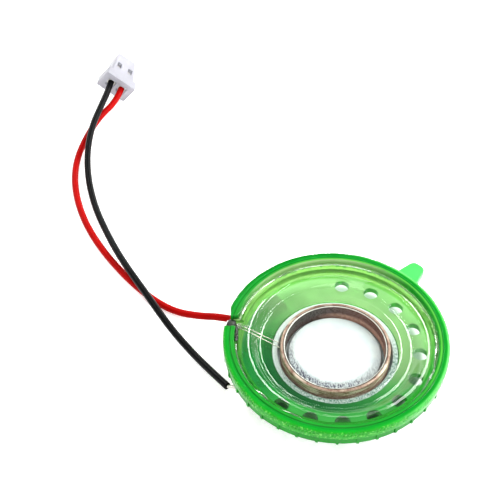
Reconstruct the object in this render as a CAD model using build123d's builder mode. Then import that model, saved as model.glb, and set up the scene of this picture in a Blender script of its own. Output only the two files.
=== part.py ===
"""Mini speaker, 29 mm across the rim, with two leads and a two-pin plug.

Origin: centre of the yoke's flat back face. +Z: the way the speaker faces.
All sizes in millimetres.
"""

import os
from math import asin, cos, degrees, hypot, radians, sin

from build123d import *

os.makedirs("parts", exist_ok=True)

# ---------------------------------------------------------------- driving sizes
# Magnet system, from the back face upwards
YOKE_D = 16.4
YOKE_H = 4.4
YOKE_WALL = 0.7
YOKE_FLOOR = 0.8
YOKE_FILLET = 0.5
YOKE_LIP_FILLET = 0.17
MAGNET_H = 2.2
MAGNET_CHAMFER = 0.15
POLE_OVERHANG = 0.35  # pole plate past the magnet, all round
POLE_T = 0.8
POLE_FILLET = 0.12

# Voice coil, hanging in the gap between yoke and pole plate
COIL_CLEARANCE = 0.35  # yoke's wall to coil
COIL_WALL = 0.65
COIL_AIR_GAP = 0.45  # coil to pole plate
COIL_H = 2.5
COIL_RISE = 1.1  # how far the coil stands above the yoke's lip
COIL_FILLET = 0.12

# Frame
RIM_D = 29.0
YOKE_FIT = 0.05  # radial clearance round the yoke
COLLAR_WALL = 0.85
YOKE_PROUD = 1.4  # how far the yoke stands out of the collar at the back
FLOOR_STEP = 0.15  # floor above the yoke's lip
FLOOR_T = 1.0
BASKET_DEPTH = 1.95  # floor to film seat
RIM_TO_BORE = 2.2  # rim to the basket's bore
BASKET_WALL = 1.0
FLANGE_T = 1.2
SEAT_STEP = 0.35  # film seat above the flange
SEAT_LAND = 1.45  # width of the film seat
CORNER_FILLET = 0.45
RIB_COUNT = 36
RIB_W = 0.35
RIB_PROUD = 0.15
RIB_STEP = 0.05  # ribs inside the clamp ring's wall
VENT_D = 2.0
VENT_INSET = 1.3  # basket's bore to the vents' centres
VENT_COUNT = 11
VENT_PITCH_ANGLE = 21.3
VENT_FIRST_ANGLE = 82.5  # from +X
TAB_ANGLE = 48
TAB_REACH = 3.6  # past the rim
TAB_ROOT_W = 3.5
TAB_TIP_W = 2.0
TAB_TIP_R = 0.85
TAB_DROP = 0.05  # tab's top below the flange's top
TAB_EDGE_R = 0.2

# Outlet for the coil leads, on the -X side of the rim
NOTCH_DEPTH = 0.95  # from the rim's outermost point to the notch's flat
NOTCH_LOW_Y = 3.2
NOTCH_HIGH_Y = 5.6
OUTLET_Y = 2.75
OUTLET_W = 1.7
OUTLET_REACH = 2.8  # from the rim's outermost point inwards
LEAD_CHANNEL_W = 1.4

# Front ring that clamps the film
RING_LIP = 0.8  # above the film
RING_WIDTH = 1.45
RING_FIT = 0.05
RING_FILLET = 0.35
RING_CHAMFER = 0.15

# Film diaphragm
FILM_T = 0.1
FILM_EDGE_GAP = 0.05
CREST_INSET = 1.45  # clamp ring's bore to the outer crest
CREST_PITCH = 2.0
CREST_W = 1.4
CREST_H = 0.35
TROUGH_H = 0.1
COIL_SEAT_GAP = 0.1
DOME_H = 0.7
BEAD_W = 0.5
BEAD_H = 0.38
DAB_R = 0.55
DAB_H = 0.75

# Terminal board under the floor
BOARD_T = 0.8
BOARD_GAP = 0.05  # to the collar's root fillet
BOARD_EDGE = 0.3  # inside the basket's outer wall
BOARD_START_ANGLE = 127.0
BOARD_END_ANGLE = 208.0
BOARD_CORNER_R = 0.6
PAD_D = 2.2
PAD_T = 0.1
PAD_INSET = 1.4  # board's outer edge to the pads' centres
PAD_RED_ANGLE = 151.5
PAD_BLACK_ANGLE = 201.0
SOLDER_D = 1.9
SOLDER_H = 0.6

# Leads
WIRE_D = 1.0
STRAND_D = 0.45
COIL_LEAD_D = 0.14
LEAD_OFF_COIL = 0.1
LEAD_LAND_IN = 0.35  # a lead's end, from the pad's centre outwards
LEAD_LAND_ANGLE = 2.0  # and round towards the outlet
ARC_SHARE = 0.45  # of the shorter run, for each arc of a cord

# Two-pin plug on the far end of the leads
PLUG_PITCH = 2.0
PLUG_L = 6.1
PLUG_EAR_W = 5.4
PLUG_EAR_L = 1.5
PLUG_BODY_W = 4.7
PLUG_NOSE_W = 3.4
PLUG_T = 3.5
PLUG_NOSE_T = 2.5
PLUG_CORNER_R = 0.35
CAVITY_L = 4.2
PIN_HOLE = 0.7
WINDOW_L = 1.2
WINDOW_W = 0.8
WINDOW_TO_END = 0.3  # window to the cavity's inner end
PLUG_HEADING_ANGLE = 82.0  # the way the plug points on the floor
PLUG_ROLL_ANGLE = 38.0  # about its own axis
PLUG_X = -32.76
PLUG_Y = 54.2
CONTACT_W = 1.1
CONTACT_T = 1.4
CONTACT_L = 2.4
CONTACT_SHEET = 0.15
CONTACT_FIT = 0.05  # all round a contact in its cavity
CRIMP_L = 1.0
CRIMP_START = 0.3  # crimp's start inside the plug's back face
WIRE_FIT = 0.03

QUARTER_TURN = 90.0

# ------------------------------------------------------------- derived levels
yoke_r = YOKE_D / 2
yoke_bore_r = yoke_r - YOKE_WALL
pole_top = YOKE_FLOOR + MAGNET_H + POLE_T
coil_r = yoke_bore_r - COIL_CLEARANCE
coil_bore_r = coil_r - COIL_WALL
pole_r = coil_bore_r - COIL_AIR_GAP
magnet_r = pole_r - POLE_OVERHANG
coil_top = YOKE_H + COIL_RISE

rim_r = RIM_D / 2
flange_r = rim_r - RIB_STEP - RIB_PROUD
bore_r = rim_r - RIM_TO_BORE
basket_r = bore_r + BASKET_WALL
seat_r = bore_r + SEAT_LAND
collar_bore_r = yoke_r + YOKE_FIT
collar_r = collar_bore_r + COLLAR_WALL
floor_top = YOKE_H + FLOOR_STEP
floor_bottom = floor_top - FLOOR_T
film_seat = floor_top + BASKET_DEPTH
flange_top = film_seat - SEAT_STEP
flange_bottom = flange_top - FLANGE_T
film_top = film_seat + FILM_T
ring_top = film_top + RING_LIP
ring_bore_r = rim_r - RING_WIDTH
notch_x = rim_r - NOTCH_DEPTH
board_bottom = floor_bottom - BOARD_T
pad_bottom = board_bottom - PAD_T

plug_ear_half = PLUG_EAR_W / 2
plug_z = plug_ear_half * sin(radians(PLUG_ROLL_ANGLE)) + PLUG_T / 2 * cos(radians(PLUG_ROLL_ANGLE))


def polar(radius, angle, z=0.0):
    """Point at a radius and an angle in degrees about the speaker's axis."""
    return (radius * cos(radians(angle)), radius * sin(radians(angle)), z)


def corner(sketch, x, y):
    """The sketch's vertex nearest to a point."""
    return sketch.vertices().sort_by_distance((x, y, 0))[0]


def save(part, name):
    part.label = name
    export_step(part, f"parts/{name}.step")


# --------------------------------------------------------------------- yoke
# Deep-drawn steel cup
with BuildPart() as yoke:
    with BuildSketch(Plane.XZ) as yoke_section:
        with BuildLine():
            Polyline(
                (0, 0), (yoke_r, 0), (yoke_r, YOKE_H), (yoke_bore_r, YOKE_H),
                (yoke_bore_r, YOKE_FLOOR), (0, YOKE_FLOOR), close=True,
            )
        make_face()
        fillet(corner(yoke_section, yoke_r, 0), YOKE_FILLET)
        fillet(corner(yoke_section, yoke_r, YOKE_H), YOKE_LIP_FILLET)
    revolve(axis=Axis.Z)
save(yoke.part, "yoke")

# ------------------------------------------------------------------- magnet
with BuildPart() as magnet:
    with BuildSketch(Plane.XY.offset(YOKE_FLOOR)):
        Circle(magnet_r)
    extrude(amount=MAGNET_H)
    chamfer(magnet.edges(), MAGNET_CHAMFER)
save(magnet.part, "magnet")

# --------------------------------------------------------------- pole plate
with BuildPart() as pole_plate:
    with BuildSketch(Plane.XY.offset(YOKE_FLOOR + MAGNET_H)):
        Circle(pole_r)
    extrude(amount=POLE_T)
    fillet(pole_plate.faces().sort_by(Axis.Z)[-1].edges(), POLE_FILLET)
save(pole_plate.part, "pole_plate")

# --------------------------------------------------------------- voice coil
with BuildPart() as voice_coil:
    with BuildSketch(Plane.XY.offset(coil_top - COIL_H)):
        Circle(coil_r)
        Circle(coil_bore_r, mode=Mode.SUBTRACT)
    extrude(amount=COIL_H)
    fillet(voice_coil.edges().filter_by(GeomType.CIRCLE), COIL_FILLET)
save(voice_coil.part, "voice_coil")

# -------------------------------------------------------------------- frame
# One moulding: collar round the yoke, vented floor, basket wall, ribbed flange and tab
with BuildPart() as frame:
    with BuildSketch(Plane.XZ) as frame_section:
        with BuildLine():
            Polyline(
                (collar_bore_r, YOKE_PROUD), (collar_r, YOKE_PROUD), (collar_r, floor_bottom),
                (basket_r, floor_bottom), (basket_r, flange_bottom), (flange_r, flange_bottom),
                (flange_r, flange_top), (seat_r, flange_top), (seat_r, film_seat),
                (bore_r, film_seat), (bore_r, floor_top), (collar_bore_r, floor_top),
                close=True,
            )
        make_face()
        fillet(corner(frame_section, bore_r, floor_top), CORNER_FILLET)
        fillet(corner(frame_section, collar_r, floor_bottom), CORNER_FILLET)
        fillet(corner(frame_section, basket_r, floor_bottom), CORNER_FILLET)
    revolve(axis=Axis.Z)

    # fine upright ribs round the flange
    with BuildSketch(Plane.XY.offset(flange_bottom)):
        with PolarLocations(flange_r, RIB_COUNT, start_angle=TAB_ANGLE):
            Rectangle(2 * RIB_PROUD, RIB_W)
    extrude(amount=FLANGE_T)

    # locating tab, a tapered tongue with a round tip
    tab_x = polar(1, TAB_ANGLE)
    tab_height = FLANGE_T - TAB_DROP
    tab_tip = rim_r + TAB_REACH
    with BuildSketch(Plane((0, 0, flange_bottom), x_dir=tab_x, z_dir=(0, 0, 1))) as tab_outline:
        with BuildLine():
            Polyline(
                (basket_r, -TAB_ROOT_W / 2), (rim_r, -TAB_ROOT_W / 2), (tab_tip, -TAB_TIP_W / 2),
                (tab_tip, TAB_TIP_W / 2), (rim_r, TAB_ROOT_W / 2), (basket_r, TAB_ROOT_W / 2),
                close=True,
            )
        make_face()
        fillet(tab_outline.vertices().sort_by_distance((0, 0, flange_bottom))[-2:], TAB_TIP_R)
    extrude(amount=tab_height)
    tab_rim = frame.edges().filter_by(
        lambda e: abs(e.center().Z - flange_bottom - tab_height) < TAB_DROP / 2
        and hypot(e.center().X, e.center().Y) > rim_r + TAB_REACH / 4
    )
    fillet(tab_rim, TAB_EDGE_R)

    # vents through the floor
    vent_angles = [VENT_FIRST_ANGLE - VENT_PITCH_ANGLE * i for i in range(VENT_COUNT)]
    with BuildSketch(Plane.XY.offset(floor_bottom)):
        with Locations(*[polar(bore_r - VENT_INSET, angle)[:2] for angle in vent_angles]):
            Circle(VENT_D / 2)
    extrude(amount=FLOOR_T, mode=Mode.SUBTRACT)

    # flat notch in the flange, and the channel that leads the coil's wires out to it
    notch_mid_y = (NOTCH_LOW_Y + NOTCH_HIGH_Y) / 2
    with BuildSketch(Plane.XY.offset(flange_bottom)):
        with Locations((-notch_x - NOTCH_DEPTH, notch_mid_y)):
            Rectangle(2 * NOTCH_DEPTH, NOTCH_HIGH_Y - NOTCH_LOW_Y)
    extrude(amount=film_seat - flange_bottom, mode=Mode.SUBTRACT)
    with BuildSketch(Plane.XY.offset(flange_top)):
        with Locations((-rim_r, OUTLET_Y)):
            Rectangle(2 * OUTLET_REACH, LEAD_CHANNEL_W)
    extrude(amount=SEAT_STEP, mode=Mode.SUBTRACT)
save(frame.part, "frame")

# --------------------------------------------------------------- clamp ring
with BuildPart() as clamp_ring:
    with BuildSketch(Plane.XZ) as ring_section:
        with BuildLine():
            Polyline(
                (ring_bore_r, film_top), (seat_r + RING_FIT, film_top),
                (seat_r + RING_FIT, flange_top), (rim_r, flange_top),
                (rim_r, ring_top), (ring_bore_r, ring_top), close=True,
            )
        make_face()
        fillet(corner(ring_section, rim_r, ring_top), RING_FILLET)
        chamfer(corner(ring_section, ring_bore_r, ring_top), RING_CHAMFER)
    revolve(axis=Axis.Z)
    with BuildSketch(Plane.XY.offset(flange_top)):
        with Locations((-rim_r, OUTLET_Y)):
            Rectangle(2 * OUTLET_REACH, OUTLET_W)
        with Locations((-notch_x - NOTCH_DEPTH, notch_mid_y)):
            Rectangle(2 * NOTCH_DEPTH, NOTCH_HIGH_Y - NOTCH_LOW_Y)
    extrude(amount=ring_top - flange_top, mode=Mode.SUBTRACT)
save(clamp_ring.part, "clamp_ring")

# ---------------------------------------------------------------- diaphragm
# Clear film: clamped edge, two pressed crests, a slope down to the coil, a shallow dome
film_edge_r = seat_r - FILM_EDGE_GAP
crest_r = ring_bore_r - CREST_INSET
coil_land_r = coil_r + COIL_SEAT_GAP
dome_r = coil_bore_r - COIL_SEAT_GAP
dome_curve_r = (dome_r**2 + DOME_H**2) / (2 * DOME_H)
dome_half_angle = degrees(asin(dome_r / dome_curve_r))


def film_line(lift):
    """The film's section line, from its outer edge to its centre."""
    low = film_seat + lift
    coil_low = coil_top + lift
    half = CREST_W / 2
    outer, inner = crest_r, crest_r - CREST_PITCH
    Line((film_edge_r, low), (outer + half, low))
    ThreePointArc((outer + half, low), (outer, low + CREST_H), (outer - half, low))
    ThreePointArc((outer - half, low), ((outer + inner) / 2, low - TROUGH_H), (inner + half, low))
    ThreePointArc((inner + half, low), (inner, low + CREST_H), (inner - half, low))
    Line((inner - half, low), (coil_land_r, coil_low))
    Line((coil_land_r, coil_low), (dome_r, coil_low))
    dome_centre = (0, coil_low + DOME_H - dome_curve_r)
    CenterArc(dome_centre, dome_curve_r, QUARTER_TURN - dome_half_angle, dome_half_angle)


with BuildPart() as diaphragm:
    with BuildSketch(Plane.XZ):
        with BuildLine():
            film_line(0)
            film_line(FILM_T)
            Line((film_edge_r, film_seat), (film_edge_r, film_top))
            Line((0, coil_top + DOME_H), (0, coil_top + DOME_H + FILM_T))
        make_face()
    revolve(axis=Axis.Z)
    # cut away where the coil leads pass out
    with BuildSketch(Plane.XY.offset(film_seat)):
        with Locations((-seat_r, OUTLET_Y)):
            Rectangle(2 * (seat_r - ring_bore_r), LEAD_CHANNEL_W)
    extrude(amount=FILM_T, both=True, mode=Mode.SUBTRACT)
save(diaphragm.part, "diaphragm")

# --------------------------------------------------------------- glue bead
# Bead of clear cement in the corner between film and ring, open at the outlet
with BuildPart() as glue_bead:
    with BuildSketch(Plane.XZ):
        with BuildLine():
            Line((ring_bore_r - BEAD_W, film_top), (ring_bore_r, film_top))
            Line((ring_bore_r, film_top), (ring_bore_r, film_top + BEAD_H))
            RadiusArc(
                (ring_bore_r, film_top + BEAD_H), (ring_bore_r - BEAD_W, film_top),
                hypot(BEAD_W, BEAD_H),
            )
        make_face()
    revolve(axis=Axis.Z)
    with BuildSketch(Plane.XY.offset(film_top)):
        with Locations((-rim_r, OUTLET_Y)):
            Rectangle(2 * OUTLET_REACH, OUTLET_W)
    extrude(amount=BEAD_H, mode=Mode.SUBTRACT)
save(glue_bead.part, "glue_bead")

# ----------------------------------------------------------- terminal board
# Crescent of paper laminate cemented under the floor
board_in_r = collar_r + CORNER_FILLET + BOARD_GAP
board_out_r = basket_r - BOARD_EDGE
with BuildPart() as terminal_board:
    with BuildSketch(Plane.XY.offset(board_bottom)) as board_outline:
        with BuildLine():
            span = BOARD_END_ANGLE - BOARD_START_ANGLE
            CenterArc((0, 0), board_out_r, BOARD_START_ANGLE, span)
            CenterArc((0, 0), board_in_r, BOARD_START_ANGLE, span)
            for end in (BOARD_START_ANGLE, BOARD_END_ANGLE):
                Line(polar(board_in_r, end)[:2], polar(board_out_r, end)[:2])
        make_face()
        fillet(board_outline.vertices(), BOARD_CORNER_R)
    extrude(amount=BOARD_T)
save(terminal_board.part, "terminal_board")

# ----------------------------------------------------- pads and solder joints
pad_circle_r = board_out_r - PAD_INSET
solder_curve_r = ((SOLDER_D / 2) ** 2 + SOLDER_H**2) / (2 * SOLDER_H)
solder_mid = (SOLDER_D / 4, solder_curve_r - SOLDER_H - (solder_curve_r**2 - (SOLDER_D / 4) ** 2) ** 0.5)
solder_parts = {}
for colour, angle in (("red", PAD_RED_ANGLE), ("black", PAD_BLACK_ANGLE)):
    with BuildPart() as pad:
        with BuildSketch(Plane(polar(pad_circle_r, angle, pad_bottom))):
            Circle(PAD_D / 2)
        extrude(amount=PAD_T)
    save(pad.part, f"solder_pad_{colour}")

    pad_centre = polar(pad_circle_r, angle, pad_bottom)
    with BuildPart() as solder:
        with BuildSketch(Plane(pad_centre, x_dir=(1, 0, 0), z_dir=(0, -1, 0))):
            with BuildLine():
                Line((0, 0), (SOLDER_D / 2, 0))
                ThreePointArc((SOLDER_D / 2, 0), solder_mid, (0, -SOLDER_H))
                Line((0, -SOLDER_H), (0, 0))
            make_face()
        revolve(axis=Axis(pad_centre, (0, 0, 1)))
    solder_parts[colour] = solder.part
    save(solder.part, f"solder_joint_{colour}")


# -------------------------------------------------------------------- cords
def arc_radii(points, share):
    """Radius of each corner's arc: its share of the shorter run over the tangent of half the turn."""
    runs = [Vector(b) - Vector(a) for a, b in zip(points, points[1:])]
    radii = []
    for before, after in zip(runs, runs[1:]):
        half_turn = Vector.get_angle(before, after) / 2
        shorter = min(before.length, after.length)
        radii.append(share * shorter * cos(radians(half_turn)) / sin(radians(half_turn)))
    return radii


RED_ROUTE = [
    (-12.7, 6.75, 2.3), (-14.9, 7.6, 2.0), (-18.0, 8.45, 1.1), (-21.6, 9.7, 0.55),
    (-25.4, 12.55, 0.5), (-29.5, 17.1, 0.5), (-33.3, 22.5, 0.5), (-36.0, 28.0, 0.5),
    (-37.6, 33.6, 0.5), (-38.0, 38.8, 0.6), (-37.1, 43.6, 0.9), (-35.1, 48.2, 1.8),
    (-32.35, 51.6, 2.43), (-31.81, 55.28, 2.43),
]
BLACK_ROUTE = [
    (-13.95, -3.95, 2.2), (-16.2, -1.0, 1.45), (-19.0, 2.7, 0.9), (-22.1, 6.8, 1.1),
    (-25.5, 12.0, 1.85), (-29.2, 18.0, 1.85), (-32.0, 24.2, 0.95), (-34.3, 30.0, 0.6),
    (-35.75, 35.6, 0.9), (-36.2, 40.4, 1.8), (-35.8, 45.1, 2.75), (-34.6, 49.4, 3.4),
    (-33.85, 52.2, 3.67), (-33.37, 55.5, 3.67),
]

wire_parts = {}
for colour, route in (("red", RED_ROUTE), ("black", BLACK_ROUTE)):
    radii = arc_radii(route, ARC_SHARE)
    with BuildPart() as wire:
        with BuildLine():
            path = FilletPolyline(*route, radius=radii)
        with BuildSketch(Plane(path @ 0, z_dir=path % 0)):
            Circle(WIRE_D / 2)
        sweep()
    wire_parts[colour] = wire.part
    save(wire.part, f"wire_{colour}")
    ideal = Circle(WIRE_D / 2, mode=Mode.PRIVATE).area * path.length
    print(f"wire_{colour}: {path.length:.2f} mm, volume {wire.part.volume / ideal:.4f} of ideal")
    print("  arc radii", [round(r, 1) for r in radii])

# Stripped ends, twisted strands from the wire's cut end into the solder
solder_mid_z = pad_bottom - SOLDER_H / 2
for colour, route, angle in (
    ("red", RED_ROUTE, PAD_RED_ANGLE),
    ("black", BLACK_ROUTE, PAD_BLACK_ANGLE),
):
    with BuildPart() as strands:
        with BuildLine():
            path = Line(route[0], polar(pad_circle_r + SOLDER_D / 4, angle, solder_mid_z))
        with BuildSketch(Plane(path @ 0, z_dir=path % 0)):
            Circle(STRAND_D / 2)
        sweep()
        add(solder_parts[colour], mode=Mode.SUBTRACT)
        add(wire_parts[colour], mode=Mode.SUBTRACT)
    save(strands.part, f"strands_{colour}")

# Coil leads: under the film, through the channel, down the notch, under the board
lead_z = flange_top + SEAT_STEP / 2
lead_start_r = coil_r + LEAD_OFF_COIL
lead_land_r = pad_circle_r + LEAD_LAND_IN
LEAD_A = [
    (-lead_start_r, 0.85, coil_top - 0.4), (-yoke_r, 1.2, coil_top - 0.2),
    (-bore_r + 0.1, 2.75, lead_z), (-ring_bore_r - 0.25, 2.95, lead_z),
    (-notch_x - 0.45, 3.9, lead_z - 0.3), (-notch_x - 0.5, 4.3, floor_top - 0.15),
    (-notch_x - 0.1, 4.5, solder_mid_z),
    polar(lead_land_r, PAD_RED_ANGLE + LEAD_LAND_ANGLE, solder_mid_z),
]
LEAD_B = [
    (-lead_start_r, 0.1, coil_top - 0.4), (-yoke_r, 0.55, coil_top - 0.2),
    (-bore_r + 0.1, 2.3, lead_z), (-ring_bore_r - 0.35, 2.55, lead_z),
    (-notch_x - 0.3, 3.6, lead_z - 0.5), (-notch_x - 0.3, 3.7, floor_top - 0.35),
    (-notch_x, 3.0, solder_mid_z),
    polar(lead_land_r, PAD_BLACK_ANGLE - LEAD_LAND_ANGLE, solder_mid_z),
]
for name, route, colour in (("coil_lead_a", LEAD_A, "red"), ("coil_lead_b", LEAD_B, "black")):
    with BuildPart() as lead:
        with BuildLine():
            path = FilletPolyline(*route, radius=arc_radii(route, ARC_SHARE))
        with BuildSketch(Plane(path @ 0, z_dir=path % 0)):
            Circle(COIL_LEAD_D / 2)
        sweep()
        add(solder_parts[colour], mode=Mode.SUBTRACT)
    save(lead.part, name)

# Dab of cement that holds the leads down in the outlet
dab_foot = (-ring_bore_r - DAB_R, OUTLET_Y, lead_z + COIL_LEAD_D / 2)
with BuildPart() as lead_cement:
    with BuildSketch(Plane(dab_foot, x_dir=(1, 0, 0), z_dir=(0, -1, 0))):
        with BuildLine():
            Polyline((0, DAB_H), (0, 0), (DAB_R, 0), (DAB_R, DAB_H - DAB_R))
            CenterArc((0, DAB_H - DAB_R), DAB_R, 0, QUARTER_TURN)
        make_face()
    revolve(axis=Axis(dab_foot, (0, 0, 1)))
save(lead_cement.part, "lead_cement")

# --------------------------------------------------------------------- plug
heading = radians(PLUG_HEADING_ANGLE)
roll = radians(PLUG_ROLL_ANGLE)
plug_axis = Vector(cos(heading), sin(heading), 0)
plug_side = Vector(sin(heading) * cos(roll), -cos(heading) * cos(roll), -sin(roll))


def plug_plane(along, side=0.0):
    """Plane across the plug, a distance in from its back face, moved sideways from its axis."""
    centre = Vector(PLUG_X, PLUG_Y, plug_z) + plug_axis * along + plug_side * side
    return Plane(centre, x_dir=plug_side, z_dir=plug_axis)


barrel_r = WIRE_D / 2 + WIRE_FIT + CONTACT_SHEET
cavity_w = 2 * (barrel_r + CONTACT_FIT)
cavity_t = max(cavity_w, CONTACT_T + 2 * CONTACT_FIT)
with BuildPart() as plug_housing:
    with BuildSketch(plug_plane(0)):
        RectangleRounded(PLUG_BODY_W, PLUG_T, PLUG_CORNER_R)
    with BuildSketch(plug_plane(PLUG_L)):
        RectangleRounded(PLUG_NOSE_W, PLUG_NOSE_T, PLUG_CORNER_R)
    loft()
    with BuildSketch(plug_plane(0)):
        RectangleRounded(PLUG_EAR_W, PLUG_T, PLUG_CORNER_R)
    extrude(amount=PLUG_EAR_L)
    for side in (-PLUG_PITCH / 2, PLUG_PITCH / 2):
        with BuildSketch(plug_plane(0, side)):
            Rectangle(cavity_w, cavity_t)
        extrude(amount=CAVITY_L, mode=Mode.SUBTRACT)
        with BuildSketch(plug_plane(CAVITY_L, side)):
            Rectangle(PIN_HOLE, PIN_HOLE)
        extrude(amount=PLUG_L - CAVITY_L, mode=Mode.SUBTRACT)
        with BuildSketch(plug_plane(CAVITY_L - WINDOW_TO_END - WINDOW_L, side)):
            with Locations((0, -PLUG_T / 4)):
                Rectangle(WINDOW_W, PLUG_T / 2)
        extrude(amount=WINDOW_L, mode=Mode.SUBTRACT)
save(plug_housing.part, "plug_housing")

# Crimp contacts: a folded box that takes the pin, and a barrel closed on the wire
for colour, side in (("red", PLUG_PITCH / 2), ("black", -PLUG_PITCH / 2)):
    box_start = CAVITY_L - CONTACT_L
    with BuildPart() as contact:
        with BuildSketch(plug_plane(box_start, side)):
            Rectangle(CONTACT_W, CONTACT_T)
            Rectangle(
                CONTACT_W - 2 * CONTACT_SHEET, CONTACT_T - 2 * CONTACT_SHEET, mode=Mode.SUBTRACT
            )
        extrude(amount=CONTACT_L)
        with BuildSketch(plug_plane(CRIMP_START, side)):
            Circle(barrel_r)
            Circle(barrel_r - CONTACT_SHEET, mode=Mode.SUBTRACT)
        extrude(amount=CRIMP_L)
        with BuildSketch(plug_plane(CRIMP_START, side)):
            with Locations((0, barrel_r - CONTACT_SHEET / 2)):
                Rectangle(CONTACT_W / 2, CONTACT_SHEET)
        extrude(amount=box_start + CONTACT_SHEET - CRIMP_START)
    save(contact.part, f"plug_contact_{colour}")
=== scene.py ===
"""Mini speaker: a green translucent frame with a clear film over a copper coil and a steel cup.

Two leads, red and black, run from it to a white plug. Everything is in metres, in the part's
own frame: the origin is the centre of the cup's back, and +Z is the way the speaker faces.
The sizes written here are in millimetres, and MM turns them to metres.
"""

from math import radians

import bmesh
import bpy
import numpy as np
from mathutils import Matrix, Vector


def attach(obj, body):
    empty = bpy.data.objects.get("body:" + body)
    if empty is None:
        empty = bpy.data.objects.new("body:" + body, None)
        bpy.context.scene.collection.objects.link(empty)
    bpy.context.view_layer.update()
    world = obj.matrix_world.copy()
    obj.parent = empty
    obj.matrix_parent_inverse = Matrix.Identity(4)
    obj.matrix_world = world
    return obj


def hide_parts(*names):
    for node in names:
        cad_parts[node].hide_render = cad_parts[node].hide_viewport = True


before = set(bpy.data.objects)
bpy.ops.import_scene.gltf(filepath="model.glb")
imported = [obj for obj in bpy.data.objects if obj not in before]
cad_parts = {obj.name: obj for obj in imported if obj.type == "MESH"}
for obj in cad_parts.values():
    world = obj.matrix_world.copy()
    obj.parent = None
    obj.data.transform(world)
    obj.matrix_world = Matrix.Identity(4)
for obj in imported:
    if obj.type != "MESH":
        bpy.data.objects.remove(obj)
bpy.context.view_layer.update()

MM = 0.001
TURN = 2 * np.pi
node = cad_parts

# ---------------------------------------------------------------------- sizes
# The part's own sizes, in millimetres: rim, clamp ring, outlet, notch and coil
RIM_R = 14.5
RING_BORE_R, RING_SEAT_R = 13.05, 13.8
RING_LOW, RING_SEAT, RING_TOP = 6.15, 6.6, 7.4
OUTLET_LOW_Y, OUTLET_HIGH_Y = 1.9, 3.6
NOTCH_X = 13.55
COIL_R, COIL_BORE_R, COIL_TOP, COIL_H = 7.15, 6.5, 5.5, 2.5
FILM_EDGE_R, FILM_T = 13.7, 0.1

# The film's own form, in millimetres: it is set here and isn't the part's
FLAT_FROM_R, FLAT_BLEND, FLAT_R = 12.2, 0.3, 12.5
OUTER_CREST_R, OUTER_CREST_SHIFT, OUTER_CREST_HALF, OUTER_CREST_H = 11.2, 0.31, 0.7, 0.13
MIDDLE_CREST_R, INNER_CREST_R, INNER_CREST_HALF, INNER_CREST_H = 9.43, 8.2, 0.65, 0.137
CREST_INNER_SIDE = 1.75  # a crest's inner side is this much wider than its outer side
INNER_CREST_FADE = 0.6
FALL_LOW_R, FALL_TO_CREST, FALL_ROUNDING = 10.05, 0.1, 0.01
DOME_R, DOME_H = 6.4, 0.58
WAVE_R, WAVE_H = 12.8, 0.004

# Clamp ring: the knurl on its edge and the groove on its top
KNURL_TEETH, KNURL_DEPTH, KNURL_LOW = 200, 0.11, 6.78
GROOVE_OUT_R, GROOVE_IN_R, GROOVE_SLANT, GROOVE_DEPTH = 13.95, 13.62, 0.05, 0.06
BORE_CHAMFER = 0.15

# Coil: its turns are about 0.05 mm apart in fact, and are drawn coarser so that they show
TURNS_HIGH, RIDGE, COIL_EDGE, COIL_EDGE_DROP = 20, 0.04, 0.09, 0.06


# ----------------------------------------------------------------- mesh tools
def surface(name, grid, material, close_rows=False, close_columns=False, cap_ends=False):
    """A mesh from a grid of points in millimetres, rows by columns by xyz.

    Point i, j joins i+1, j+1. A closed direction joins its last line to its first.
    Capped ends are filled with one face each, across the first and the last column.
    Points that meet, as at a pole, are merged, and all faces are turned outwards.
    """
    rows, columns = grid.shape[:2]
    i = np.arange(rows if close_rows else rows - 1)[:, None]
    j = np.arange(columns if close_columns else columns - 1)[None, :]
    below, beside = (i + 1) % rows, (j + 1) % columns
    corners = [i * columns + j, i * columns + beside, below * columns + beside, below * columns + j]
    faces = np.stack([c + 0 * (i + j) for c in corners], -1).reshape(-1, 4).tolist()
    if cap_ends:
        ring = np.arange(rows) * columns
        faces += [ring.tolist(), (ring[::-1] + columns - 1).tolist()]
    mesh = bpy.data.meshes.new(name)
    mesh.from_pydata((grid.reshape(-1, 3) * MM).tolist(), [], faces)
    whole = bmesh.new()
    whole.from_mesh(mesh)
    bmesh.ops.remove_doubles(whole, verts=whole.verts, dist=1e-8)
    bmesh.ops.recalc_face_normals(whole, faces=whole.faces)
    whole.to_mesh(mesh)
    whole.free()
    mesh.validate()
    mesh.shade_smooth()
    mesh.materials.append(material)
    piece = bpy.data.objects.new(name, mesh)
    bpy.context.scene.collection.objects.link(piece)
    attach(piece, "root")
    return piece


def turned(radius, height, angle):
    """Points of a surface of revolution: x = r cos a, y = r sin a, z = h."""
    radius, height, angle = np.broadcast_arrays(radius, height, angle)
    return np.stack([radius * np.cos(angle), radius * np.sin(angle), height], -1)


def ripple(angle, seed, waves, steep=0.8):
    """A smooth random wave round a circle.

    It is a sum of sines of 1, 2, 3 and more turns. Each has a random start and a random height
    over its number of turns to the power of the steepness.
    """
    rng = np.random.default_rng(seed)
    turns = np.arange(1, waves + 1)
    start = rng.uniform(0, TURN, waves)
    height = rng.normal(0, 1, waves) / turns**steep
    return np.sin(np.asarray(angle)[..., None] * turns + start) @ height


def open_ring_angles(radius, count):
    """Angles round a ring that is open between the outlet's two flat sides.

    At each radius they run, evenly, from the side at low y round to the side at high y.
    """
    start = np.pi - np.arcsin(OUTLET_LOW_Y / radius)
    end = 3 * np.pi - np.arcsin(OUTLET_HIGH_Y / radius)
    return start + (end - start) * np.linspace(0, 1, count)


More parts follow.
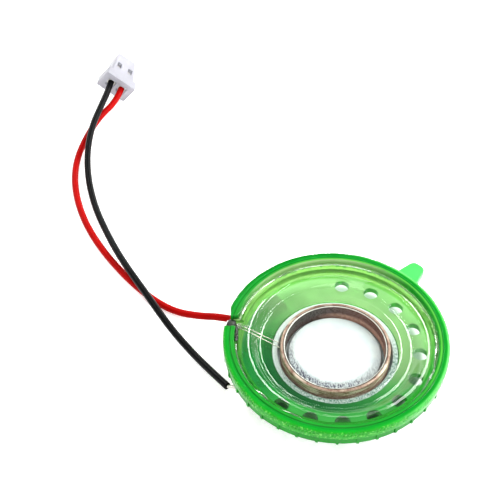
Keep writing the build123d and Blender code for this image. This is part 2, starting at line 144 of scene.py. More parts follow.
def rounded_profile(corners, steps=5):
    """A closed section line in r and z, with each corner (r, z, radius) rounded.

    The rounding is a quadratic curve from a radius before the corner to a radius after it.
    """
    place = np.array([c[:2] for c in corners], float)
    reach = np.array([c[2] for c in corners])[:, None]
    before, after = np.roll(place, 1, 0) - place, np.roll(place, -1, 0) - place
    first = place + before / np.linalg.norm(before, axis=1)[:, None] * reach
    last = place + after / np.linalg.norm(after, axis=1)[:, None] * reach
    t = np.linspace(0, 1, steps)[None, :, None]
    line = (1 - t) ** 2 * first[:, None] + 2 * t * (1 - t) * place[:, None] + t**2 * last[:, None]
    return line.reshape(-1, 2)


# ------------------------------------------------------------- material tools
UP = (0, 0, 1)
FAR_SIDE = (0, 1, 0)
LIT_SIDE = (0.6, 0.8, 0)


def linear(code):
    """An sRGB hex colour as linear red, green and blue, with full alpha."""
    c = np.array([int(code[i:i + 2], 16) for i in (0, 2, 4)]) / 255
    return (*np.where(c <= 0.04045, c / 12.92, ((c + 0.055) / 1.055) ** 2.4), 1.0)


def add(tree, kind, inputs=None, stops=(), out=0, **settings):
    """Adds a node with its settings, and returns one of its outputs.

    An input is a socket, which is linked, or a value, where a text is a hex colour.
    Stops are the places and hex colours of a colour ramp.
    """
    made = tree.nodes.new(kind)
    for key, value in settings.items():
        setattr(made, key, value)
    for key, value in (inputs or {}).items():
        if isinstance(value, bpy.types.NodeSocket):
            tree.links.new(value, made.inputs[key])
        else:
            made.inputs[key].default_value = linear(value) if isinstance(value, str) else value
    if stops:
        marks = made.color_ramp.elements
        for at, _ in stops[1:-1]:
            marks.new(at)
        for mark, (at, code) in zip(marks, stops):
            mark.position, mark.color = at, linear(code)
    return made.outputs[out]


def new_material(name):
    """An empty node material and its tree."""
    made = bpy.data.materials.new(name)
    made.use_nodes = True
    made.node_tree.nodes.clear()
    return made, made.node_tree


def finished(made, shader):
    """The material, with the shader on its output."""
    output = made.node_tree.nodes.new("ShaderNodeOutputMaterial")
    made.node_tree.links.new(shader, output.inputs["Surface"])
    return made


def fade(tree, low_mm, high_mm, towards=None, centre_mm=(0, 0, 0), span=(0, 1)):
    """A number that goes smoothly from the span's first to its last, between two distances.

    The distance is along a direction from the part's origin, or, without a direction, from an
    upright axis through the centre.
    """
    place = add(tree, "ShaderNodeTexCoord", out="Object")
    if towards:
        reach = add(
            tree, "ShaderNodeVectorMath", {0: place, 1: towards},
            out="Value", operation="DOT_PRODUCT",
        )
    else:
        centre = [c * MM for c in centre_mm]
        moved = add(tree, "ShaderNodeVectorMath", {0: place, 1: centre}, operation="SUBTRACT")
        flat = add(tree, "ShaderNodeVectorMath", {0: moved, 1: (1, 1, 0)}, operation="MULTIPLY")
        reach = add(tree, "ShaderNodeVectorMath", {0: flat}, out="Value", operation="LENGTH")
    return add(
        tree, "ShaderNodeMapRange",
        {
            "Value": reach, "From Min": low_mm * MM, "From Max": high_mm * MM,
            "To Min": span[0], "To Max": span[1],
        },
        interpolation_type="SMOOTHSTEP",
    )


def grain(tree, size_mm, detail=2.0, stretch=(1, 1, 1)):
    """Noise over the object, with cells of about the given size."""
    place = add(tree, "ShaderNodeTexCoord", out="Object")
    scaled = add(tree, "ShaderNodeMapping", {"Vector": place, "Scale": stretch})
    return add(
        tree, "ShaderNodeTexNoise",
        {"Vector": scaled, "Scale": 1 / (size_mm * MM), "Detail": detail},
    )


def coats(tree, colour, *layers):
    """Colours laid over a first one in turn, each with its own cover from 0 to 1."""
    for cover, over in layers:
        colour = add(
            tree, "ShaderNodeMix", {0: cover, 6: colour, 7: over}, out=2, data_type="RGBA"
        )
    return colour


def product(tree, first, *others):
    """Shares multiplied: full only where each of them is full."""
    for other in others:
        first = add(tree, "ShaderNodeMath", {0: first, 1: other}, operation="MULTIPLY")
    return first


def clouded(tree, colour, size_mm):
    """A colour made up to a fifth darker and lighter in soft clouds of about the given size."""
    cloud = add(
        tree, "ShaderNodeMapRange", {"Value": grain(tree, size_mm), "To Min": 0.8, "To Max": 1.2}
    )
    return add(
        tree, "ShaderNodeMix", {0: 1.0, 6: colour, 7: cloud},
        out=2, data_type="RGBA", blend_type="MULTIPLY",
    )


# ------------------------------------------------------------------ materials
def green_plastic(name, colour_of, through_of, rough):
    """Polystyrene, tinted green and injection moulded.

    It is pale where it is thin and light comes through, and deep where it is thick, and its colour
    function paints more light and shade on it. The mould leaves a texture of about a third of a
    millimetre, and the melt's flow clouds of 2.5 mm.
    """
    made, tree = new_material(name)
    fine = grain(tree, 0.35)
    gloss = add(
        tree, "ShaderNodeMapRange", {"Value": fine, "To Min": 0.7 * rough, "To Max": 1.3 * rough}
    )
    shader = add(tree, "ShaderNodeBsdfPrincipled", {
        "Base Color": clouded(tree, colour_of(tree), 2.5),
        "Roughness": gloss,
        "Normal": add(
            tree, "ShaderNodeBump", {"Height": fine, "Strength": 0.3, "Distance": 0.01 * MM}
        ),
        "Transmission Weight": through_of(tree),
        "IOR": 1.27,
        "Specular IOR Level": 0.3,
    })
    return finished(made, shader)


def frame_colour(tree):
    """Pale lime on the floor, deep green under it and on the flange, clear green on the tab.

    The floor is painted lighter on the lit side, and lighter towards the front as a painted light
    wash that stands for the sky's reflection in the film. Its top is 4.55 mm up, and it has painted
    shade over the collar, out to a radius of 9.9 mm, which fades out on the lit side. The wall
    rises from it, with painted light on its top on the far side, and the underside has painted
    shade on the near side. The flange starts at 13.6 mm, and the tab lies past the rim.
    """
    # Painted light: lighter on the lit side, and a painted light wash towards the front
    floor_with_painted_light = coats(
        tree, "28BC54",
        (fade(tree, -9.0, 9.0, LIT_SIDE), "D4FFB4"),
        (fade(tree, 4.0, 9.0, (0.1, -0.99, 0)), "5CE468"),
    )
    # Painted shade over the collar, fading out towards the lit side
    painted_shade_over_collar = coats(tree, "188440", (fade(tree, -9.0, 2.0, LIT_SIDE), floor_with_painted_light))
    floor_top = coats(tree, painted_shade_over_collar, (fade(tree, 9.1, 9.9), floor_with_painted_light))
    # Painted light on the wall's top on the far side
    wall_top_with_painted_light = coats(tree, "30B030", (fade(tree, -6.0, 9.0, FAR_SIDE), "A8EC74"))
    wall = coats(tree, "98E468", (fade(tree, 4.8, 5.7, UP), wall_top_with_painted_light))
    # Painted shade on the underside's near side, lighter towards the far side
    underside_with_painted_shade = coats(tree, "047C0C", (fade(tree, -6.0, 8.0, FAR_SIDE), "74D46C"))
    return coats(
        tree, underside_with_painted_shade,
        (fade(tree, 4.3, 4.5, UP), floor_top),
        (fade(tree, 4.56, 4.8, UP), wall),
        (fade(tree, 13.6, 14.1), "008A14"),
        (fade(tree, RIM_R, 14.75), "50C862"),
    )


def frame_through(tree):
    """The floor and wall let most of the light through, the thick flange little."""
    return fade(tree, 13.6, 14.1, span=(0.6, 0.3))


def ring_colour(tree):
    """Bands round the ring: an inner lip with painted light on its far and sunny sides, a deep line
    at the groove, which is painted shade, a green land and a knurled edge.

    The land has painted light on the sunny side and painted shade on the other, and painted glints
    make spots of the knurl's teeth paler.
    """
    # Painted light on the lip's far side, and on its top towards the sunny side
    lip = coats(tree, "1C9C28", (fade(tree, 6.0, 13.0, (-0.15, 0.98, 0)), "A8D488"))
    top_lip = coats(tree, "26A834", (fade(tree, -2.0, 9.0, (0.75, 0.66, 0)), "60C848"))
    # The dark stop at 0.32 is painted shade at the groove
    bands = add(tree, "ShaderNodeValToRGB", {"Fac": fade(tree, RING_BORE_R, RIM_R)}, [
        (0.0, "48B040"), (0.2, "30B43C"), (0.32, "026814"), (0.46, "0C9428"),
        (0.66, "089424"), (0.9, "12A024"), (1.0, "22A420"),
    ])
    # Painted glints in spots on the knurl's teeth
    painted_glint_spots = add(
        tree, "ShaderNodeMapRange",
        {"Value": grain(tree, 0.3, 3.0), "From Min": 0.54, "From Max": 0.7},
    )
    # Painted light on the land's sunny side, painted shade on the other side
    sunny_side = fade(tree, 1.0, 12.0, (0.9, 0.2, 0))
    painted_shade_side = fade(tree, 5.0, 13.0, (-0.55, 0.83, 0))
    return coats(
        tree, lip,
        (fade(tree, 13.22, 13.34), top_lip),
        (fade(tree, 13.42, 13.56), bands),
        (product(tree, sunny_side, fade(tree, 14.05, 14.3)), "64D468"),
        (product(tree, painted_shade_side, fade(tree, 13.75, 14.1)), "088020"),
        (product(tree, painted_glint_spots, fade(tree, 14.22, 14.42)), "70D858"),
    )


def ring_through(tree):
    """The ring is thin at its bore and thick at its outer edge."""
    return fade(tree, 13.3, 13.9, span=(0.5, 0.3))


def clear_film(name):
    """Polyester film, thermoformed: clear, with a hard gloss that grows towards grazing angles.

    The gloss is on the film's outer side only, so that its two sides don't double it, and soft
    waves 2.5 mm apart, left by the forming, unsettle what it mirrors.
    """
    made, tree = new_material(name)
    facing = add(tree, "ShaderNodeLayerWeight", {"Blend": 0.5}, out="Facing")
    inner_side = add(tree, "ShaderNodeNewGeometry", out="Backfacing")
    outer_side = add(tree, "ShaderNodeMath", {0: 1.0, 1: inner_side}, operation="SUBTRACT")
    rise = add(tree, "ShaderNodeMath", {0: facing, 1: 3.0}, operation="POWER")
    mirrored = add(tree, "ShaderNodeMapRange", {"Value": rise, "To Min": 0.03, "To Max": 0.7})
    wave = add(
        tree, "ShaderNodeBump",
        {"Height": grain(tree, 2.5), "Strength": 0.25, "Distance": 0.004 * MM},
    )
    gloss = add(
        tree, "ShaderNodeBsdfGlossy", {"Normal": wave, "Color": "FFFFFF", "Roughness": 0.07}
    )
    clear = add(tree, "ShaderNodeBsdfTransparent", {"Color": "F4F7F5"})
    share = product(tree, mirrored, outer_side)
    return finished(made, add(tree, "ShaderNodeMixShader", {0: share, 1: clear, 2: gloss}))


def solid_finish(name, darker, lighter, cloud_mm, rough, relief_mm, **values):
    """A finish in two close colours, clouded, with an uneven gloss and a fine relief.

    The relief's cells are a sixth of the clouds' size. Values are the shader's own.
    """
    made, tree = new_material(name)
    fine = grain(tree, cloud_mm / 6, 3.0)
    gloss = add(
        tree, "ShaderNodeMapRange", {"Value": fine, "To Min": 0.75 * rough, "To Max": 1.25 * rough}
    )
    shader = add(tree, "ShaderNodeBsdfPrincipled", {
        "Base Color": add(
            tree, "ShaderNodeValToRGB", {"Fac": grain(tree, cloud_mm)},
            [(0.3, darker), (0.7, lighter)],
        ),
        "Roughness": gloss,
        "Normal": add(
            tree, "ShaderNodeBump", {"Height": fine, "Strength": 0.4, "Distance": relief_mm * MM}
        ),
        **{key.replace("_", " "): value for key, value in values.items()},
    })
    return finished(made, shader)


def wound_copper(name):
    """Enamelled copper wire, wound and varnished.

    Its bore is painted dark as shade, with painted reflections that lighten it towards one side,
    a painted highlight line runs round its rim, and its outer wall is rosy brown, with streaks half
    a millimetre high and eight times as long along the turns, whose palest stops are painted
    highlights.
    """
    made, tree = new_material(name)
    # Painted shade down the bore, with painted reflections lightening it towards one side
    bore_top_painted_shade = coats(tree, "403630", (fade(tree, -1.0, 7.0, (0.95, 0.3, 0)), "703A28"))
    bore_low_painted_shade_and_reflection = coats(tree, "584640", (fade(tree, 2.0, 6.3, (0.7, 0.7, 0)), "E0AC98"))
    # Streaks along the turns; their palest stops are painted highlights
    streaks = add(
        tree, "ShaderNodeValToRGB", {"Fac": grain(tree, 0.5, 2.0, (0.12, 0.12, 1.0))},
        [(0.3, "7C5448"), (0.42, "C09C8C"), (0.5, "946858"), (0.62, "F4D8C8"), (0.75, "A08070")],
    )
    # The near white line at the rim's top is a painted highlight
    turns = coats(
        tree, bore_low_painted_shade_and_reflection,
        (fade(tree, 3.7, 4.4, UP), bore_top_painted_shade),
        (fade(tree, 5.43, 5.47, UP), "FFF4EC"),
        (fade(tree, 6.6, 6.68), coats(tree, "060404", (fade(tree, 6.72, 6.8), streaks))),
    )
    gloss = add(
        tree, "ShaderNodeMapRange", {"Value": grain(tree, 0.3), "To Min": 0.2, "To Max": 0.36}
    )
    return finished(made, add(tree, "ShaderNodeBsdfPrincipled", {
        "Base Color": clouded(tree, turns, 0.8), "Roughness": gloss,
        "Metallic": 0.2, "Coat Weight": 0.15,
    }))


def ticked_metal(name, darker, lighter, painted_tick_colour, ring_mm, centre_mm, towards, metallic):
    """Bright plated steel, with a painted reflection of the winding beside it.

    The painted reflection of the turns is fine upright ticks in a ring, over a soft painted shade
    in the same ring, most of all on its side towards the given direction. They are drawn about
    twice as coarse as the real ones, so that they show.
    """
    made, tree = new_material(name)
    # Painted reflection of the turns as ticks, over at least 0.3 of the tick colour as painted
    # shade
    ticks = add(tree, "ShaderNodeMapRange", {
        "Value": grain(tree, 0.11, 1.0, (1, 0.35, 1)),
        "From Min": 0.38, "From Max": 0.62, "To Min": 0.3,
    })
    share = product(
        tree, fade(tree, -3.0, 5.0, towards, span=(0.15, 1)),
        fade(tree, *ring_mm, centre_mm=centre_mm), ticks,
    )
    plate = add(
        tree, "ShaderNodeValToRGB", {"Fac": grain(tree, 1.5)}, [(0.3, darker), (0.7, lighter)]
    )
    gloss = add(
        tree, "ShaderNodeMapRange", {"Value": grain(tree, 0.5), "To Min": 0.24, "To Max": 0.4}
    )
    return finished(made, add(tree, "ShaderNodeBsdfPrincipled", {
        "Base Color": coats(tree, plate, (share, painted_tick_colour)), "Roughness": gloss, "Metallic": metallic,
    }))


def light_table():
    """Matt white acrylic with a faint glow from below.

    Under the speaker the glow is left off and a shadow is painted, dark green at the front and
    green-grey towards the back, as if tinted by the light that comes through the frame.
    """
    made, tree = new_material("light_table")
    outside_painted_shadow = fade(tree, 11.5, 12.7, centre_mm=(0, 2.7, 0))
    # Painted shadow under the speaker: dark green at the front, green-grey towards the back
    under = add(
        tree, "ShaderNodeValToRGB", {"Fac": fade(tree, -5.0, 13.0, (0.3, 0.95, 0))},
        [(0.0, "1C5424"), (0.25, "1E5828"), (0.6, "7C9880"), (0.85, "98AC9A"), (1.0, "ACC0B0")],
    )
    matt = add(
        tree, "ShaderNodeMapRange", {"Value": grain(tree, 20.0), "To Min": 0.85, "To Max": 0.95}
    )
    # The glow is only outside the painted shadow
    return finished(made, add(tree, "ShaderNodeBsdfPrincipled", {
        "Base Color": coats(tree, under, (outside_painted_shadow, "F2F2F2")), "Roughness": matt,
        "Emission Color": coats(tree, "000000", (outside_painted_shadow, "FFFFFF")),
        "Emission Strength": 0.45, "Specular IOR Level": 0.1,
    }))


frame_green = green_plastic("green_polystyrene_frame", frame_colour, frame_through, 0.14)
ring_green = green_plastic("green_polystyrene_ring", ring_colour, ring_through, 0.12)
film_clear = clear_film("clear_polyester_film")
copper = wound_copper("enamelled_copper")
# Zinc and nickel plate are painted near white, a painted reflection of the studio, so they are
# barely metallic
zinc = ticked_metal(
    "zinc_plated_steel", "F6FAFC", "FFFFFF", "386C58",
    (6.9, 7.6), (0, 0, 0), (0.3, -0.95, 0), 0.06,
)
nickel = ticked_metal(
    "nickel_plated_plate", "ECF0F6", "FFFFFF", "443C54",
    (4.9, 5.75), (0, 0.8, 0), (-0.4, -0.9, 0), 0.1,
)
# Dried solvent cement: clear as water, hard and lumpy, with bright glints
cement = solid_finish(
    "clear_cement", "F4F8EE", "FFFFFF", 1.0, 0.05, 0.02, Transmission_Weight=1.0, IOR=1.45
)
# The same cement with solder flux in it: nearly black, with a dull shine; on the run along the ring
# its black is also painted shade
stained_cement = solid_finish(
    "flux_stained_cement", "010201", "2C3428", 0.4, 0.22, 0.05, Specular_IOR_Level=0.3
)
# Drawn copper under clear enamel: a thin, pale, bright line
lead_copper = solid_finish(
    "enamelled_lead_wire", "C8BCB4", "E8E0D8", 0.8, 0.25, 0.004, Metallic=1.0
)
# Sintered magnet with a satin grey plate
magnet_plate = solid_finish(
    "nickel_plated_magnet", "A8A8AA", "C4C4C6", 1.5, 0.3, 0.004, Metallic=1.0
)
# Pressed paper and resin: tan, dull and faintly mottled
laminate = solid_finish("phenolic_paper_laminate", "A88850", "C0A068", 0.8, 0.5, 0.01)
# Hot-dipped tin on pads and strands: warm grey and soft-edged
tin = solid_finish("tinned_copper", "B8B4AC", "D8D4CC", 0.4, 0.3, 0.004, Metallic=1.0)
# Frozen solder: brighter and smoother than the tin
solder = solid_finish("tin_solder", "A8A8A8", "D0D0D0", 0.6, 0.22, 0.01, Metallic=1.0)
# Extruded soft vinyl: deep even colour and a weak, wide shine
red_vinyl = solid_finish(
    "red_vinyl_insulation", "940100", "A00301", 2.0, 0.4, 0.01, Specular_IOR_Level=0.05
)
black_vinyl = solid_finish(
    "black_vinyl_insulation", "010102", "040405", 2.0, 0.3, 0.01, Specular_IOR_Level=0.09
)
# Moulded nylon, undyed: milky white that some light comes through
nylon = solid_finish(
    "natural_nylon", "B4B4BC", "C0C0C8", 1.5, 0.42, 0.01, Transmission_Weight=0.45, IOR=1.3
)
# Stamped bronze with a tin plate: light grey behind the plug's windows
contact_tin = solid_finish("tinned_bronze", "D0CEC8", "E4E2DC", 0.5, 0.4, 0.004, Metallic=0.4)

# The nodes that are shown as they are get their finish
for name, finish in {
    "frame": frame_green, "yoke": zinc, "magnet": magnet_plate,
    "pole_plate": nickel, "terminal_board": laminate, "solder_pad_red": tin,
    "solder_pad_black": tin, "solder_joint_red": solder, "solder_joint_black": solder,
    "coil_lead_a": lead_copper, "coil_lead_b": lead_copper, "strands_red": tin,
    "strands_black": tin, "plug_housing": nylon, "plug_contact_red": contact_tin,
    "plug_contact_black": contact_tin,
}.items():
    node[name].data.materials.clear()
    node[name].data.materials.append(finish)

# ----------------------------------------------------------------- clamp ring
groove_low = RING_TOP - GROOVE_DEPTH
ring_line = rounded_profile([
    (RING_BORE_R, RING_SEAT, 0.04), (RING_SEAT_R, RING_SEAT, 0.04),
    (RING_SEAT_R, RING_LOW, 0.04), (RIM_R, RING_LOW, 0.06),
    (RIM_R, KNURL_LOW, 0.02), (RIM_R, KNURL_LOW + 0.03, 0.01), (RIM_R, RING_TOP, 0.22),
    (GROOVE_OUT_R, RING_TOP, 0.03), (GROOVE_OUT_R - GROOVE_SLANT, groove_low, 0.03),
    (GROOVE_IN_R + 0.08, groove_low, 0.03), (GROOVE_IN_R, RING_TOP, 0.03),
    (RING_BORE_R + BORE_CHAMFER, RING_TOP, 0.05), (RING_BORE_R, RING_TOP - BORE_CHAMFER, 0.05),
])
ring_r, ring_z = ring_line[:, :1], ring_line[:, 1:]
ring_angle = open_ring_angles(ring_r, 1201)
# The teeth are cosines, squared to narrow them, and each is worn to its own height
tooth = (0.5 - 0.5 * np.cos(KNURL_TEETH * ring_angle)) ** 2
worn = np.clip(0.55 + 0.28 * ripple(ring_angle, 31, 60, 0.15), 0.1, 1)
on_edge = (ring_r > RIM_R - 0.3) & (ring_z > KNURL_LOW + 0.01)
ring_points = turned(ring_r - KNURL_DEPTH * worn * tooth * on_edge, ring_z, ring_angle)
# Beside the outlet, the frame's notch cuts the ring off flat
ring_x, ring_y = ring_points[..., 0], ring_points[..., 1]
on_flat = (ring_y > OUTLET_HIGH_Y - 0.05) & (ring_x < 0)
ring_points[..., 0] = np.where(on_flat, np.maximum(ring_x, -NOTCH_X), ring_x)
ring = surface("front_ring", ring_points, ring_green, close_rows=True, cap_ends=True)
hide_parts("clamp_ring")


# ----------------------------------------------------------------------- film
def film_height(radius, angle):
    """Height of the film's upper side.

    Flat at the edge, a low crest, a straight fall with rounded ends to the coil's level,
    two small crests on that level and a parabola for the dome. A crest is a squared cosine,
    wider on its inner side. The outer crest sits a little off centre, the innermost one fades
    out on one side, and a little wave goes round it all.
    """
    def hump(middle, half):
        away = (radius - middle) / np.where(radius > middle, half, CREST_INNER_SIDE * half)
        return np.cos(np.pi / 2 * np.clip(away, -1, 1)) ** 2

    outer = OUTER_CREST_R + OUTER_CREST_SHIFT * np.cos(angle)
    t = (radius - FALL_LOW_R) / (outer - FALL_TO_CREST - FALL_LOW_R)
    rounded_t, rounded_rest = np.sqrt(t**2 + FALL_ROUNDING), np.sqrt((1 - t) ** 2 + FALL_ROUNDING)
    low = COIL_TOP + FILM_T
    level = low + (RING_SEAT - low) * (1 + rounded_t - rounded_rest) / 2
    inner_share = INNER_CREST_FADE * (1 + np.cos(angle))
    crests = OUTER_CREST_H * hump(outer, OUTER_CREST_HALF) + INNER_CREST_H * (
        hump(MIDDLE_CREST_R, INNER_CREST_HALF)
        + inner_share * hump(INNER_CREST_R, INNER_CREST_HALF)
    )
    dome = DOME_H * (1 - np.clip(radius / DOME_R, 0, 1) ** 2)
    across = np.clip((radius - COIL_R) / (WAVE_R - COIL_R), 0, 1)
    wave = WAVE_H * ripple(angle, 4, 4) * np.sin(np.pi * across)
    inside = 1 - np.clip((radius - FLAT_FROM_R) / FLAT_BLEND, 0, 1)
    return np.where(radius > FLAT_R, RING_SEAT, level + dome + (crests + wave) * inside)


# Rows from the edge to the centre, close together over the crests and wider over the dome
film_angle = np.linspace(0, TURN, 280, endpoint=False)[None, :]
out_to_in = np.concatenate([
    np.linspace(1, 0.56, 110), np.linspace(0.56, 0.45, 14)[1:], np.linspace(0.45, 0, 24)[1:],
])
# In the outlet the film's edge is cut back to the ring's bore
FILM_CUT_Y, FILM_CUT_HALF = 2.75, 0.72
in_outlet = np.abs(FILM_EDGE_R * np.sin(film_angle) - FILM_CUT_Y) < FILM_CUT_HALF
film_edge = np.where(in_outlet & (np.cos(film_angle) < 0), RING_BORE_R, FILM_EDGE_R)
film_r = np.minimum(FILM_EDGE_R * out_to_in[:, None], film_edge)
film_z = film_height(film_r, film_angle)
film_points = turned(
    np.vstack([film_r, film_r[::-1]]), np.vstack([film_z, film_z[::-1] - FILM_T]), film_angle
)
film = surface("film", film_points, film_clear, close_rows=True, close_columns=True)
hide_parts("diaphragm")

# ----------------------------------------------------------------------- coil
# A ring turned from a section whose two walls have a ridge for each turn, a height of 1 - |sin|
up_wall = np.linspace(0, 1, 6 * TURNS_HIGH + 1)
ridge = RIDGE * (1 - np.abs(np.sin(np.pi * TURNS_HIGH * up_wall)))
coil_low = COIL_TOP - COIL_H
wall_z = coil_low + COIL_EDGE_DROP + (COIL_H - 2 * COIL_EDGE_DROP) * up_wall
outer_edge_r, inner_edge_r = COIL_R - COIL_EDGE, COIL_BORE_R + COIL_EDGE
coil_r = np.concatenate([
    COIL_R - ridge, [outer_edge_r, (COIL_R + COIL_BORE_R) / 2, inner_edge_r],
    COIL_BORE_R + ridge[::-1], [inner_edge_r, outer_edge_r],
])
coil_z = np.concatenate([wall_z, [COIL_TOP] * 3, wall_z[::-1], [coil_low] * 2])
coil_angle = np.linspace(0, TURN, 192, endpoint=False)[None, :]
coil_points = turned(coil_r[:, None], coil_z[:, None], coil_angle)
coil = surface("coil", coil_points, copper, close_rows=True, close_columns=True)
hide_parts("voice_coil")

# --------------------------------------------------------------------- cement
# Uneven bead: a fillet between film and ring whose width and slope ripple round the ring.
# It is rough on the side away from the outlet, and broad at two places on the near side.
BEAD_SLOPE = 16
ROUGH_WIDTH = 0.25
BROAD_PLACES = [(222, 0.006), (243, 0.01)]
bead_angle = open_ring_angles(np.full((1, 1), RING_BORE_R), 700)
rough = np.exp(-((bead_angle + np.pi) % TURN - np.pi) ** 2 / ROUGH_WIDTH)
broad = sum(np.exp(-((bead_angle - radians(at)) ** 2) / width) for at, width in BROAD_PLACES)
width_ripple = (0.02 + 0.11 * rough) * ripple(bead_angle, 11, 24, 0.35)
slope_ripple = (0.25 + 1.9 * rough) * ripple(bead_angle, 12, 30, 0.3)
bead_w = np.clip(0.22 + 0.26 * rough + 0.34 * broad + width_ripple, 0.1, 0.8)
bead_h = bead_w * np.tan(np.radians(BEAD_SLOPE + slope_ripple))
up_face = np.linspace(0, 1, 9)[:, None]
bead_r = np.vstack([RING_BORE_R - bead_w * (1 - up_face), np.full_like(bead_angle, RING_BORE_R)])
bead_z = np.vstack([RING_SEAT + bead_h * up_face, np.full_like(bead_angle, RING_SEAT)])
bead_points = turned(bead_r, bead_z, bead_angle)
bead = surface("cement_bead", bead_points, cement, close_rows=True, cap_ends=True)
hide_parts("glue_bead")


def cement_lump(name, centre, half, low, seeds, material):
    """A lump of cement: a ball stretched to its half sizes and pressed flat below.

    Its radius ripples round it, and on a slant, by less and less towards its poles.
    """
    up = np.linspace(-np.pi / 2, np.pi / 2, 40)[:, None]
    round_it = np.linspace(0, TURN, 64, endpoint=False)[None, :]
    sideways, slanting = ripple(round_it, seeds[0], 6), ripple(2 * up + round_it, seeds[1], 7)
    radius = 1 + np.cos(up) * (0.10 * sideways + 0.06 * slanting)
    points = np.stack([
        centre[0] + half[0] * radius * np.cos(up) * np.cos(round_it),
        centre[1] + half[1] * radius * np.cos(up) * np.sin(round_it),
        np.maximum(centre[2] + half[2] * radius * np.sin(up), low) + 0 * round_it,
    ], -1)
    return surface(name, points, material, close_columns=True)


# The dab that closes the outlet, a near black run along the ring that is cement and painted shade
# of the gap by the lip, and a coat over the coil's leads
dab = cement_lump(
    "lead_dab", (-13.5, 2.7, 6.62), (0.62, 0.82, 0.5), 6.4, (21, 22), stained_cement
)
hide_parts("lead_cement")
# Its near black stands partly for cement and partly for painted shade in the gap along the lip
cement_lump(
    "cement_run_and_painted_shade", (-12.85, 1.15, 6.75), (0.32, 1.35, 0.3), RING_SEAT, (31, 22), stained_cement
)
cement_lump("lead_coat", (-12.1, 2.5, 6.6), (1.0, 0.28, 0.2), RING_SEAT, (25, 26), cement)

# --------------------------------------------------------------------- camera
camera = bpy.data.objects.new("camera", bpy.data.cameras.new("camera"))
bpy.context.scene.collection.objects.link(camera)
bpy.context.scene.camera = camera
camera.data.sensor_width = 36.0
camera.data.lens = 83.05
camera.data.clip_start, camera.data.clip_end = 0.005, 5.0
camera.location = (-0.01103, -0.089725, 0.124805)
camera.rotation_euler = (radians(41.715), 0, 0)

# ---------------------------------------------------------------------- cords
RED_ROUTE = [
    (-12.7, 6.75, 2.3), (-14.9, 7.6, 2.0), (-18.0, 8.45, 1.1), (-21.6, 9.7, 0.55),
    (-25.4, 12.55, 0.5), (-29.5, 17.1, 0.5), (-33.3, 22.5, 0.5), (-36.0, 28.0, 0.5),
    (-37.6, 33.6, 0.5), (-38.0, 38.8, 0.6), (-37.1, 43.6, 0.9), (-35.1, 48.2, 1.8),
    (-32.35, 51.6, 2.43), (-31.81, 55.28, 2.43),
]
BLACK_ROUTE = [
    (-13.95, -3.95, 2.2), (-16.2, -1.0, 1.45), (-19.0, 2.7, 0.9), (-22.1, 6.8, 1.1),
    (-25.5, 12.0, 1.85), (-29.2, 18.0, 1.85), (-32.0, 24.2, 0.95), (-34.3, 30.0, 0.6),
    (-35.75, 35.6, 0.9), (-36.2, 40.4, 1.8), (-35.8, 45.1, 2.75), (-34.6, 49.4, 3.4),
    (-33.85, 52.2, 3.67), (-33.37, 55.5, 3.67),
]
WIRE_D = 1.0 * MM


def lead(name, route, finish):
    """A round wire on a smooth spline whose control points are the route's."""
    curve = bpy.data.curves.new(name, "CURVE")
    curve.dimensions = "3D"
    spline = curve.splines.new("NURBS")
    spline.points.add(len(route) - 1)
    for point, place in zip(spline.points, route):
        point.co = (*(x * MM for x in place), 1)
    spline.order_u = 3
    spline.use_endpoint_u = True
    spline.resolution_u = 12
    curve.bevel_depth = WIRE_D / 2
    curve.bevel_resolution = 6
    curve.use_fill_caps = True
    curve.materials.append(finish)
    piece = bpy.data.objects.new(name, curve)
    bpy.context.scene.collection.objects.link(piece)
    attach(piece, "root")
    return piece


red_lead = lead("red_lead", RED_ROUTE, red_vinyl)
black_lead = lead("black_lead", BLACK_ROUTE, black_vinyl)
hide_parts("wire_red")
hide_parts("wire_black")

# ---------------------------------------------------------------------- stage
FLOOR_HALF = 2
floor_corners = [(-1, -1), (1, -1), (1, 1), (-1, 1)]
floor = bpy.data.objects.new("floor", bpy.data.meshes.new("floor"))
floor.data.from_pydata(
    [(FLOOR_HALF * x, FLOOR_HALF * y, 0) for x, y in floor_corners], [], [(0, 1, 2, 3)]
)
bpy.context.scene.collection.objects.link(floor)
floor.data.materials.append(light_table())

# A white studio, bright round the speaker and dimmer overhead
world = bpy.data.worlds.new("studio")
bpy.context.scene.world = world
world.use_nodes = True
sky = world.node_tree
direction = add(sky, "ShaderNodeTexCoord", out="Generated")
overhead = add(sky, "ShaderNodeMapRange", {
    "Value": add(sky, "ShaderNodeSeparateXYZ", {0: direction}, out="Z"),
    "From Min": 0.3, "From Max": 0.62, "To Min": 1.25, "To Max": 0.35,
})
sky.links.new(overhead, sky.nodes["Background"].inputs["Strength"])
sky.nodes["Background"].inputs["Color"].default_value = (1, 1, 1, 1)


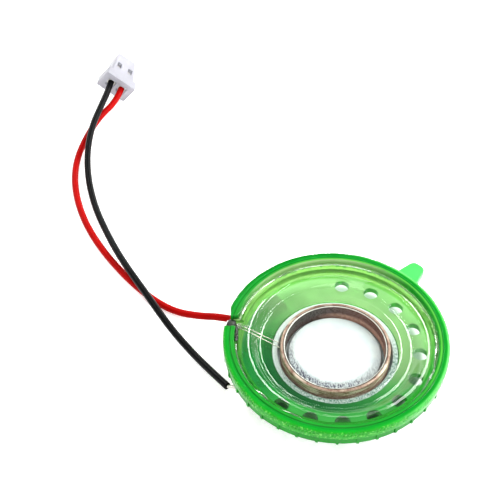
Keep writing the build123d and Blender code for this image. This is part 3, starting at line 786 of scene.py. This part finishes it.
def strip_light(name, start, end, width, glow):
    """A flat lamp from one end to the other, turned to the speaker.

    Its energy is pi times its area times the glow, so the glow is its brightness.
    """
    start, end = Vector(start), Vector(end)
    middle = (start + end) / 2
    back = middle.normalized()
    across = (end - start).cross(back).normalized()
    lamp = bpy.data.lights.new(name, "AREA")
    lamp.shape = "RECTANGLE"
    lamp.size, lamp.size_y = width, (end - start).length
    lamp.energy = np.pi * lamp.size * lamp.size_y * glow
    made = bpy.data.objects.new(name, lamp)
    bpy.context.scene.collection.objects.link(made)
    turn = Matrix((across, back.cross(across), back)).transposed()
    made.matrix_world = Matrix.Translation(middle) @ turn.to_4x4()


# Narrow soft boxes, end to end along the points given in metres: the film's crests and the
# cement mirror them as light lines. Each has its name, points, width in metres and glow.
for name, points, width, glow in [
    ("left_strip", [
        (-0.169, 0.495, 0.294), (-0.245, 0.381, 0.394), (-0.25, 0.228, 0.497),
        (-0.154, 0.086, 0.574),
    ], 0.04, 20.0),
    ("right_strip", [
        (0.105, 0.558, 0.196), (0.194, 0.522, 0.223), (0.286, 0.436, 0.297),
        (0.331, 0.305, 0.397),
    ], 0.06, 16.0),
    ("right_high_strip", [(0.331, 0.305, 0.397), (0.293, 0.156, 0.50)], 0.09, 16.0),
    ("right_near_strip", [(0.293, 0.156, 0.50), (0.22, 0.075, 0.552)], 0.17, 14.0),
    ("top_strip", [
        (-0.154, 0.086, 0.574), (0.046, 0.017, 0.598), (0.239, 0.091, 0.543),
    ], 0.03, 5.0),
    ("right_edge_strip", [(0.42, 0.36, 0.20), (0.52, -0.10, 0.28)], 0.03, 16.0),
    ("right_low_softbox", [(0.47, 0.13, 0.35), (0.39, -0.08, 0.45)], 0.07, 34.0),
    ("front_softbox", [(-0.3, -0.35, 0.52), (0.3, -0.35, 0.52)], 0.36, 2.7),
]:
    for i, (start, end) in enumerate(zip(points, points[1:])):
        strip_light(f"{name}_{i}", start, end, width, glow)
bpy.context.scene.view_settings.view_transform = "Standard"
